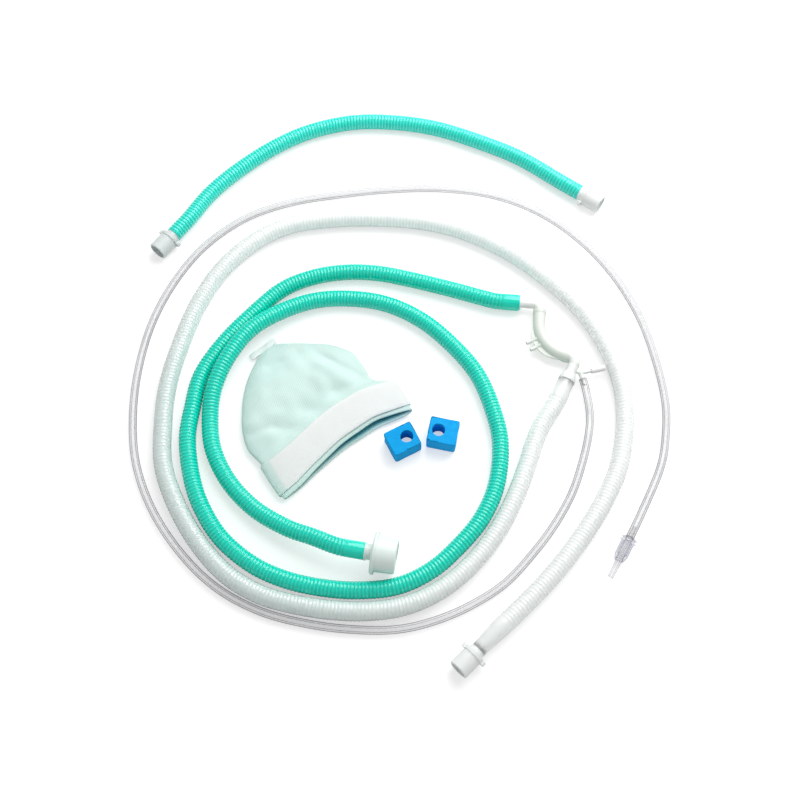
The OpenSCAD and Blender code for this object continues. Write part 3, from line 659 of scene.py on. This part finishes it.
def knit(name, light, dark, liningShade, stitch=0.0011, turned=None):
    # Jersey: columns of small V stitches. Lining shade is the painted shade inside the hat,
    # and turned the colour of the cloth folded over at the left end.
    look = Look(name)
    flat = look.node("ShaderNodeUVMap", {"uv_map": "cloth"})
    across = look.node("ShaderNodeSeparateXYZ", None, {"Vector": flat}, out="X")
    u = across / stitch
    v = across.other("Y") / (0.8 * stitch)
    slant = (u.rest() - 0.5).size()
    loops = ((v + 1.3 * slant) * (2 * math.pi)).wave() * 0.5 + 0.5
    wales = (u * math.pi).wave().size()
    thread = loops * 0.55 + wales * 0.45
    spot = look.spot()
    cloud = look.cloud(spot, 30.0, 4.0)
    fuzz = look.cloud(spot, 2600.0, 3.0)
    inside = look.node("ShaderNodeAttribute", {"attribute_name": "inside"}, out="Fac")
    cloth = look.mix((0.5 + 0.9 * (cloud - 0.5) + 0.35 * (thread - 0.5)).clamped(), dark, light)
    if turned:
        edge = (6.2 - 260.0 * ((across - hat["bandGirth"] / 2).size() + 0.006 * cloud)).clamped()
        cloth = look.mix(edge * 0.85, cloth, turned)
    return look.surface({
        # Painted shade inside the hat, where the lining is
        "Base Color": look.mix(inside, cloth, liningShade),
        "Roughness": 0.86 + 0.1 * fuzz,
        "Normal": look.bump(thread + 0.4 * fuzz, 0.00025, 0.7),
        "Specular IOR Level": 0.2,
        "Sheen Weight": 0.25,
        "Sheen Roughness": 0.4,
    })


mintKnit = knit("mintKnit", paint(217, 241, 235), paint(204, 232, 226), paint(64, 148, 162))
whiteKnit = knit("whiteKnit", paint(243, 246, 245), paint(232, 238, 236), paint(210, 222, 222),
                 0.0009, turned=paint(208, 234, 228))


def closedRows(name, rows, look, spots, ends):
    # Rows of points round a closed form, with a fan at each end that is asked for
    sides = len(rows[0])
    points = [p for row in rows for p in row]
    faces = ringFaces(len(rows), sides, closed=not any(ends)).tolist()
    flat = [p for row in spots for p in row]
    for wanted, first, step in ((ends[0], 0, -1), (ends[1], (len(rows) - 1) * sides, 1)):
        if wanted:
            points.append(np.mean(points[first:first + sides], axis=0))
            flat.append(np.mean(flat[first:first + sides], axis=0))
            middle = len(points) - 1
            for k in range(sides):
                m = (k + 1) % sides
                faces.append((first + k, first + m, middle) if step > 0 else (first + m, first + k, middle))
    return newMesh(name, hatToFrame(points), faces, look), flat


def crownRows():
    return [*np.linspace(-hat["hem"], 0.0, 10), *np.linspace(0.002, 0.066, 40),
            *np.linspace(0.068, 0.0825, 16)]


def mouthSlip(turn, y):
    # The back of the hem lies further out than the front, most of all towards the right
    side = math.sin(turn)
    share = 0.35 - 0.65 * side if side < 0 else 0.35 * (1 - side)
    right = 1 + 0.7 * math.cos(turn)
    tucked = 0.0011 * max(side, 0.0) * math.cos(turn)
    return (tucked - hat["hemBack"] * share * right) * easeDown(y, -hat["hem"], -0.010)


def makeCrown():
    sides = hat["around"]
    turns = [2 * math.pi * k / sides for k in range(sides)]
    heights = crownRows()
    liningHeights = np.linspace(-0.001, -hat["hem"], 20)
    rimOut, rimSpot = 0.0006, -0.028  # the turned rim stands a little past the hem

    def ring(y, grow, out=0.0):
        row = []
        for turn in turns:
            x, along, z = hatPoint(turn, y, grow)
            row.append((x, along + mouthSlip(turn, y) - out, z))
        return row

    def spotsAt(y):
        return [(hat["crownGirth"] * k / sides, y) for k in range(sides)]

    inner = [ring(y, -hat["cloth"]) for y in liningHeights]
    rim = ring(-hat["hem"], -hat["cloth"] / 2, rimOut)
    rows = inner + [rim] + [ring(y, 0.0) for y in heights]
    spots = [spotsAt(y) for y in (*liningHeights, rimSpot, *heights)]
    piece, flat = closedRows("hatCrown", rows, mintKnit, spots, (True, True))
    clothSpots(piece, flat)
    # The lining is in shade, and its last two rings come out into the light
    shade = [1.0] * (len(inner) - 2) + [0.55, 0.1] + [0.0] * (len(rows) - len(inner))
    addValues(piece, "inside", [value for value in shade for _ in turns] + [1.0, 0.0])
    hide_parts("hat_crown")
    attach(piece, "circuit")


def makeBand():
    sides = hat["around"]
    outside, inside, height = hatLift, hat["gap"], hat["bandHeight"]
    edge, middle, flat = 0.0004, 0.0010, 0.0012
    profile = [(-height + edge, inside + edge), (-height, inside + middle), (-height + edge, outside - edge)]
    profile += [(y, outside) for y in np.linspace(-height + flat, -flat, 10)]
    profile += [(-edge, outside - edge), (0.0, inside + middle), (-edge, inside + edge)]
    profile += [(y, inside) for y in (-0.004, -0.010, -0.016)]
    rows, spots = [], []
    for y, grow in profile:
        rows.append([hatPoint(2 * math.pi * k / sides, y, grow) for k in range(sides)])
        spots.append([(hat["bandGirth"] * k / sides, y) for k in range(sides)])
    piece, flat = closedRows("hatCuffBand", rows, whiteKnit, spots, (False, False))
    clothSpots(piece, flat)
    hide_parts("hat_cuff_band")
    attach(piece, "circuit")


makeCrown()
makeBand()
print("hat made")

# Folded tape at the top of the crown, left bare
label = {
    "ends": ((-0.0185, 0.0795), (0.0045, 0.0815)),
    "reach": 0.0055,
    "thick": 0.0004,
    "height": 0.0030,
    "droop": 0.0016,
    "wave": 0.0004,
    "across": 16,
}


def labelCloth():
    look = Look("labelCloth")
    spot = look.spot()
    weave = look.node("ShaderNodeTexChecker", None, {"Vector": spot, "Scale": 3200.0}, out="Fac")
    cloud = look.cloud(spot, 120.0)
    return look.surface({
        "Base Color": look.mix(cloud.clamped(), paint(250, 251, 251), paint(236, 240, 240)),
        "Roughness": 0.6 + 0.15 * weave,
        "Normal": look.bump(weave, 0.00006, 0.5),
        "Sheen Weight": 0.15,
    })


def makeLabel():
    (x0, y0), (x1, y1) = label["ends"]
    across = label["across"]
    rows = []
    for layer in (1, -1):  # out along the top and back along the underside
        for t in (0.0, 0.33, 0.66, 1.0)[::layer]:
            row = []
            for k in range(across + 1):
                s = k / across
                x = x0 + (x1 - x0) * s
                y = y0 + (y1 - y0) * s + label["reach"] * t
                z = label["height"] - label["droop"] * t + label["wave"] * math.sin(3 * s * math.pi) * t
                row.append((x, y, z + layer * label["thick"]))
            rows.append(row)
    points = [p for row in rows for p in row]
    wide = across + 1
    faces = []
    count = len(rows)
    for i in range(count):
        j = (i + 1) % count
        for k in range(across):
            faces.append((i * wide + k, j * wide + k, j * wide + k + 1, i * wide + k + 1))
    faces.append(tuple(i * wide for i in range(count))[::-1])
    faces.append(tuple(i * wide + across for i in range(count)))
    piece = newMesh("hatLabel", hatToFrame(points), faces, labelCloth())
    piece.data.polygons.foreach_set("use_smooth", [False] * len(faces))
    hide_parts("hat_label")
    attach(piece, "circuit")


makeLabel()

# Foam blocks with a hole off the middle, softly bulged
foam = {
    "left": (0.017, -0.028, 28.0),
    "right": (0.047, -0.022, 168.0),
    "length": 0.022,
    "width": 0.020,
    "height": 0.015,
    "hole": 0.0096,
    "shift": 0.0034,
    "around": 128,
    "corner": 16,
    "edge": 0.0004,
    "bulge": 0.012,
    "grain": 0.00014,
    "waver": 0.0006,
}


def foamLook(name, light, dark):
    look = Look(name)
    spot = look.spot()
    cells = look.node("ShaderNodeTexVoronoi", {"feature": "F1"}, {"Vector": spot, "Scale": 1500.0},
                      out="Distance")
    cloud = look.cloud(spot, 240.0, 4.0)
    speck = look.cloud(spot, 1100.0, 3.0)
    colour = look.mix((0.45 + 0.9 * (cloud - 0.5) + 0.8 * (cells - 0.45)).clamped(), light, dark)
    return look.surface({
        "Base Color": colour,
        "Roughness": 0.78 + 0.15 * speck,
        "Normal": look.bump(cells * 0.7 + speck * 0.3, 0.0004, 0.8),
        "Specular IOR Level": 0.25,
    })


def makeFoam(name, node, place, seed, look):
    n, corner, edge = foam["around"], foam["corner"], foam["edge"]
    halfLong, halfWide, high = foam["length"] / 2, foam["width"] / 2, foam["height"]
    hole, shift = foam["hole"] / 2, foam["shift"]
    outline, circle = [], []
    for k in range(n):
        t = 8.0 * k / n
        side, share = int(t // 2), t % 2 - 1
        x, y = [(1, share), (-share, 1), (-1, -share), (share, -1)][side]
        pull = (abs(x) ** corner + abs(y) ** corner) ** (-1 / corner)
        outline.append((x * pull * halfLong, y * pull * halfWide))
        turn = math.atan2(outline[-1][1], outline[-1][0] - shift)
        circle.append((shift + hole * math.cos(turn), hole * math.sin(turn)))
    rows = []

    def addRow(share, z, inset=0.0):
        # A share of 0 is on the hole and 1 on the outline
        row = []
        for (ox, oy), (cx, cy) in zip(outline, circle):
            shrink = 1 - inset / halfWide
            row.append((cx + (ox * shrink - cx) * share, cy + (oy * shrink - cy) * share, z))
        rows.append(row)

    for z in np.linspace(0.0, high, 9):
        addRow(0.0, z)
    for share in (0.06, 0.25, 0.5, 0.75, 0.93):
        addRow(share, high)
    addRow(1.0, high, edge)
    addRow(1.0, high - edge, edge / 4)
    for t in np.linspace(0.08, 0.92, 9)[::-1]:
        addRow(1.0, high * t, 0.0)
    addRow(1.0, edge, edge / 4)
    addRow(1.0, 0.0, edge)
    for share in (0.75, 0.5, 0.25):
        addRow(share, 0.0)
    turn = math.radians(place[2])
    points = []
    for row in rows:
        for x, y, z in row:
            rough = noise.noise(Vector((x * 700 + seed, y * 700, z * 700))) * foam["grain"]
            soft = noise.noise(Vector((x * 90 + seed, y * 90, z * 90))) * foam["waver"]
            bulge = 1 + foam["bulge"] * (1 - (2 * z / high - 1) ** 2)
            x, y = x * bulge + soft, y * bulge + rough
            if z > high / 2:
                z += rough + 0.0002 * math.sin(x * 260 + seed)
            z = max(0.0, min(z, high))
            points.append((place[0] + x * math.cos(turn) - y * math.sin(turn),
                           place[1] + x * math.sin(turn) + y * math.cos(turn), z))
    piece = newMesh(name, points, ringFaces(len(rows), n), look)
    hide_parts(node)
    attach(piece, "circuit")


makeFoam("foamBlockLeft", "foam_block_left", foam["left"], 3.0,
         foamLook("blueFoamLeft", paint(14, 176, 240), paint(0, 150, 224)))
makeFoam("foamBlockRight", "foam_block_right", foam["right"], 11.0,
         foamLook("blueFoamRight", paint(30, 182, 248), paint(0, 154, 232)))
print("foam made")

# Floor, lamps and world. Seen straight, the floor is part glow, which keeps it white
# and leaves the shadows on it soft.
studio = {
    "floor": 6.0,
    "paper": (0.93, 0.93, 0.93, 1.0),
    "white": (1.0, 1.0, 1.0, 1.0),
    "lamps": {
        "softBox": {"spot": (0.36, 0.62, 0.78), "size": 1.0, "power": 12.6},
        "sideLamp": {"spot": (-0.55, -0.35, 1.10), "size": 1.0, "power": 0.8},
    },
    "ambient": 0.45,
    "floorLift": 0.3,
    "floorGlow": 1.7,
}


def makeStudio():
    half = studio["floor"] / 2
    look = Look("floorPaper")
    seenStraight = look.node("ShaderNodeLightPath", out="Is Camera Ray")
    glow = look.node("ShaderNodeEmission", None, {"Color": studio["white"], "Strength": studio["floorGlow"]})
    paper = look.node("ShaderNodeBsdfDiffuse", None, {"Color": studio["paper"]})
    both = look.node("ShaderNodeMixShader", None, {0: seenStraight * studio["floorLift"], 1: paper, 2: glow})
    look.node("ShaderNodeOutputMaterial", None, {"Surface": both})
    corners = [(-half, -half, 0.0), (half, -half, 0.0), (half, half, 0.0), (-half, half, 0.0)]
    floor = newMesh("floor", corners, [(0, 1, 2, 3)], look.owner)
    for name, lamp in studio["lamps"].items():
        data = bpy.data.lights.new(name, "AREA")
        data.energy = lamp["power"]
        data.size = lamp["size"]
        made = bpy.data.objects.new(name, data)
        made.location = lamp["spot"]
        made.rotation_euler = (-Vector(lamp["spot"])).to_track_quat("-Z", "Y").to_euler()
        made.visible_camera = False
        bpy.context.collection.objects.link(made)
    sky = Look("studio", bpy.data.worlds)
    bpy.context.scene.world = sky.owner
    paths = sky.node("ShaderNodeLightPath", out="Is Camera Ray")
    seen = (paths + paths.other("Is Transmission Ray")).clamped()
    strength = studio["ambient"] + (1 - studio["ambient"]) * seen
    back = sky.node("ShaderNodeBackground", None, {"Color": studio["white"], "Strength": strength})
    sky.node("ShaderNodeOutputWorld", None, {"Surface": back})
    bpy.context.scene.view_settings.view_transform = "Standard"


makeStudio()
print("studio made")
